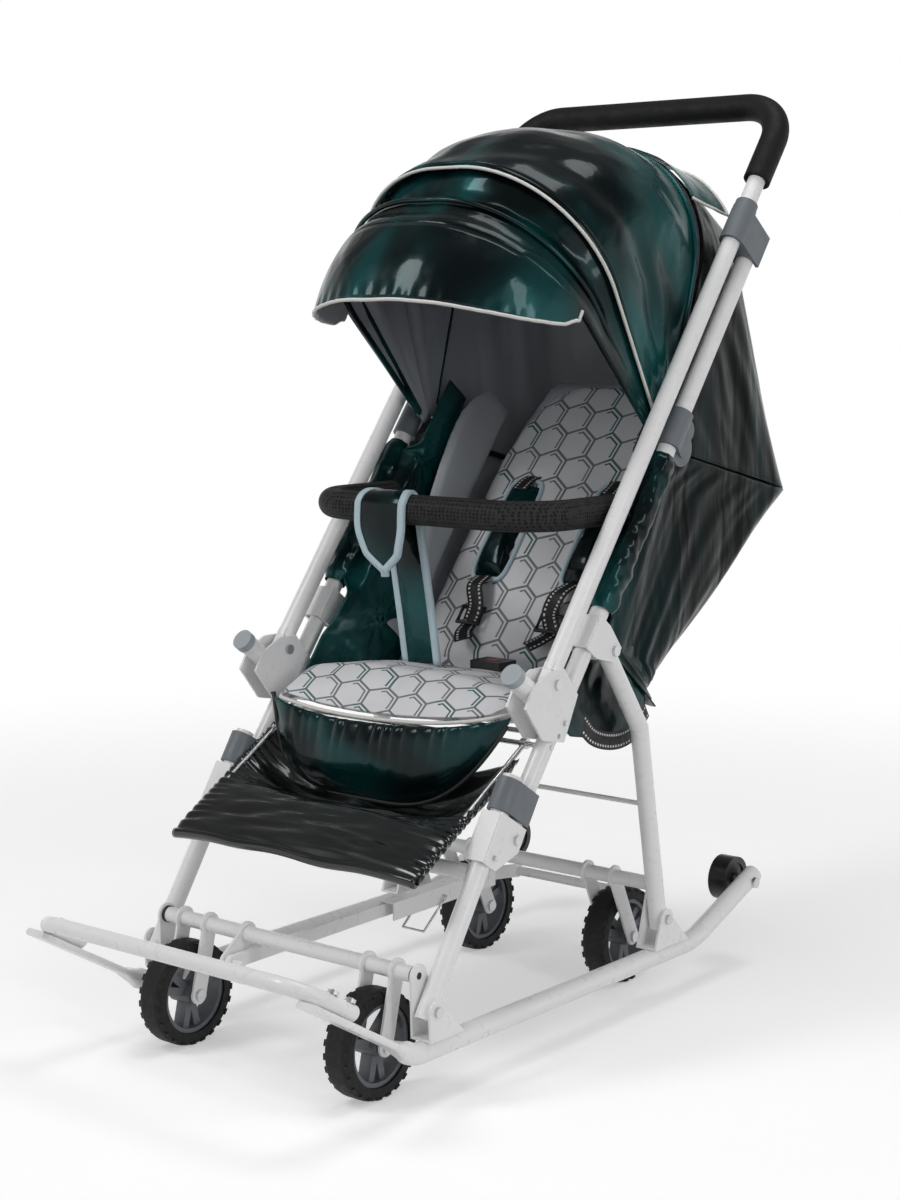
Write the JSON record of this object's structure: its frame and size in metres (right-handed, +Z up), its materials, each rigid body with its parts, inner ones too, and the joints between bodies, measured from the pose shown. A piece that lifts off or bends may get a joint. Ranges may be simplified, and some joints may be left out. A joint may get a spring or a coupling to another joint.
{
  "type": "sled stroller",
  "caption": "Folding sled stroller with swing-up wheels under sled runners, reversible push handle, reclining padded seat, bumper bar, footrest and folding hood.",
  "frame": {"origin": "on the ground under the middle of the overall length and width", "axes": "+Z up, -Y the way the child looks and the sled runs, +X the picture's right"},
  "size_m": [0.4466, 0.9972, 1.1178],
  "materials": {
    "white_paint": "satin white paint",
    "grey_plastic": "matt grey",
    "dark_plastic": "matt black",
    "plated_steel": "zinc plated",
    "tyre_rubber": "matt rubber",
    "black_foam": "open foam",
    "lacquer_cloth": "glossy lacquered cloth",
    "black_cloth": "glossy lacquered cloth",
    "printed_cloth": "printed cotton",
    "red_plastic": "gloss red"
  },
  "bodies": {
    "base": {"runner_left": "white_paint", "runner_right": "white_paint", "front_crossbar": "white_paint", "front_brackets": "white_paint", "rear_brackets": "white_paint", "axle_bushes": "dark_plastic", "base_screws": "plated_steel"},
    "tail_wheel_left": {"tail_wheel_left": "grey_plastic"},
    "tail_wheel_right": {"tail_wheel_right": "grey_plastic"},
    "rear_gear": {"rear_axle": "white_paint", "rear_forks": "white_paint", "pedal": "white_paint", "rear_wheel_pins": "plated_steel"},
    "front_gear": {"front_axle": "white_paint", "front_forks": "white_paint", "front_wheel_pins": "plated_steel"},
    "wheel_fl": {"tyre_fl": "tyre_rubber", "rim_fl": "grey_plastic"},
    "wheel_fr": {"tyre_fr": "tyre_rubber", "rim_fr": "grey_plastic"},
    "wheel_rl": {"tyre_rl": "tyre_rubber", "rim_rl": "grey_plastic"},
    "wheel_rr": {"tyre_rr": "tyre_rubber", "rim_rr": "grey_plastic"},
    "link": {"link_channel": "white_paint", "link_bar": "white_paint"},
    "bail": {"lock_bail": "plated_steel"},
    "legs": {"lower_legs": "white_paint", "knee_brackets": "white_paint", "knee_screws": "plated_steel"},
    "sleeves": {"knee_sleeves": "grey_plastic"},
    "upper": {"side_tubes": "white_paint", "seat_brackets": "white_paint", "tube_caps": "grey_plastic", "rear_hinge_brackets": "white_paint", "hood_clamps": "grey_plastic", "seat_rods": "plated_steel", "bumper_bar": "black_foam", "upper_screws": "plated_steel", "side_covers": "lacquer_cloth", "seat_apron": "lacquer_cloth"},
    "handle": {"handle_tube": "white_paint", "handle_grip": "black_foam"},
    "collars": {"top_collars": "grey_plastic"},
    "rear_stays": {"rear_legs": "white_paint"},
    "footrest": {"footrest_cover": "black_cloth", "footrest_wire": "plated_steel"},
    "seat": {"seat_cushion": "printed_cloth", "crotch_strap": "lacquer_cloth", "buckle": "dark_plastic"},
    "button": {"buckle_button": "red_plastic"},
    "recliner": {"recline_rod": "plated_steel"},
    "backrest": {"back_pad": "printed_cloth", "side_wings": "lacquer_cloth", "shoulder_pads": "lacquer_cloth"},
    "hood_back": {"hood_bow": "dark_plastic", "hood_rear": "lacquer_cloth", "back_cover": "lacquer_cloth"},
    "hood_middle": {"hood_mid": "lacquer_cloth"},
    "visor": {"hood_visor": "lacquer_cloth"}
  },
  "joints": [
    {"name": "tail_wheel_left_spin", "type": "hinge", "parent": "base", "child": "tail_wheel_left", "pos_m": [-0.177, 0.34909, 0.11152], "axis": [1, 0, 0], "continuous": true},
    {"name": "tail_wheel_right_spin", "type": "hinge", "parent": "base", "child": "tail_wheel_right", "pos_m": [0.177, 0.34909, 0.11152], "axis": [1, 0, 0], "continuous": true},
    {"name": "wheel_swing", "type": "hinge", "parent": "base", "child": "rear_gear", "pos_m": [0, 0.15088, 0.147], "axis": [-1, 0, 0], "range_deg": [-90, 0]},
    {"name": "front_swing", "type": "hinge", "parent": "base", "child": "front_gear", "pos_m": [0, -0.30012, 0.141], "axis": [-1, 0, 0], "range_deg": [-90, 0]},
    {"name": "wheel_fl_spin", "type": "hinge", "parent": "front_gear", "child": "wheel_fl", "pos_m": [-0.142, -0.31912, 0.061], "axis": [1, 0, 0], "continuous": true},
    {"name": "wheel_fr_spin", "type": "hinge", "parent": "front_gear", "child": "wheel_fr", "pos_m": [0.142, -0.31912, 0.061], "axis": [1, 0, 0], "continuous": true},
    {"name": "wheel_rl_spin", "type": "hinge", "parent": "rear_gear", "child": "wheel_rl", "pos_m": [-0.114, 0.19188, 0.061], "axis": [1, 0, 0], "continuous": true},
    {"name": "wheel_rr_spin", "type": "hinge", "parent": "rear_gear", "child": "wheel_rr", "pos_m": [0.114, 0.19188, 0.061], "axis": [1, 0, 0], "continuous": true},
    {"name": "link_turn", "type": "hinge", "parent": "rear_gear", "child": "link", "pos_m": [0, 0.11888, 0.122], "axis": [-1, 0, 0], "range_deg": [0, 90]},
    {"name": "bail_swing", "type": "hinge", "parent": "link", "child": "bail", "pos_m": [0, 0.02289, 0.12072], "axis": [1, 0, 0], "range_deg": [0, 35]},
    {"name": "frame_fold", "type": "hinge", "parent": "base", "child": "legs", "pos_m": [0, -0.30012, 0.106], "axis": [1, 0, 0], "range_deg": [0, 90], "deforming": ["back_cover", "crotch_strap"]},
    {"name": "sleeve_slide", "type": "slide", "parent": "legs", "child": "sleeves", "axis": [0, 0.5446, 0.8387], "range_m": [0, 0.02]},
    {"name": "knee_turn", "type": "hinge", "parent": "legs", "child": "upper", "pos_m": [0, -0.16329, 0.26677], "axis": [1, 0, 0], "range_deg": [-135, 0]},
    {"name": "handle_flip", "type": "hinge", "parent": "upper", "child": "handle", "pos_m": [0, -0.08912, 0.43], "axis": [-1, 0, 0], "range_deg": [-74, 0]},
    {"name": "collar_slide", "type": "slide", "parent": "handle", "child": "collars", "axis": [0, 0.6018, 0.7986], "range_m": [0, 0.03]},
    {"name": "rear_stay_turn", "type": "hinge", "parent": "upper", "child": "rear_stays", "pos_m": [0, 0.02314, 0.45434], "axis": [1, 0, 0], "range_deg": [0, 94]},
    {"name": "footrest_tilt", "type": "hinge", "parent": "upper", "child": "footrest", "pos_m": [0, -0.09408, 0.35861], "axis": [1, 0, 0], "range_deg": [0, 8]},
    {"name": "seat_turn", "type": "hinge", "parent": "upper", "child": "seat", "pos_m": [0, -0.11712, 0.392], "axis": [1, 0, 0], "range_deg": [0, 47]},
    {"name": "button_press", "type": "slide", "parent": "seat", "child": "button", "axis": [0, 0, -1], "range_m": [0, 0.0025], "stiffness_N_per_m": 300},
    {"name": "recliner_turn", "type": "hinge", "parent": "seat", "child": "recliner", "pos_m": [0, 0.08588, 0.365], "axis": [1, 0, 0], "range_deg": [-50, 0]},
    {"name": "recline", "type": "hinge", "parent": "recliner", "child": "backrest", "pos_m": [0, 0.08588, 0.365], "axis": [1, 0, 0], "range_deg": [-8, 3]},
    {"name": "hood_turn", "type": "hinge", "parent": "upper", "child": "hood_back", "pos_m": [0, 0.17688, 0.68], "axis": [1, 0, 0], "range_deg": [0, 45]},
    {"name": "hood_middle_turn", "type": "hinge", "parent": "hood_back", "child": "hood_middle", "pos_m": [0, 0.17688, 0.68], "axis": [-1, 0, 0], "range_deg": [0, 41]},
    {"name": "hood_fold", "type": "hinge", "parent": "hood_back", "child": "visor", "pos_m": [0, 0.17688, 0.68], "axis": [-1, 0, 0], "range_deg": [0, 84], "deforming": ["hood_rear"]}
  ],
  "couplings": [
    {"joint": "front_swing", "follows": "wheel_swing", "ratio": 1},
    {"joint": "link_turn", "follows": "wheel_swing", "ratio": -1},
    {"joint": "knee_turn", "follows": "frame_fold", "ratio": -1.4918},
    {"joint": "rear_stay_turn", "follows": "frame_fold", "ratio": 1.0343},
    {"joint": "seat_turn", "follows": "frame_fold", "ratio": 0.51111},
    {"joint": "recliner_turn", "follows": "frame_fold", "ratio": -0.55267},
    {"joint": "hood_turn", "follows": "frame_fold", "ratio": 0.49183},
    {"joint": "hood_middle_turn", "follows": "hood_fold", "ratio": 0.47619}
  ]
}
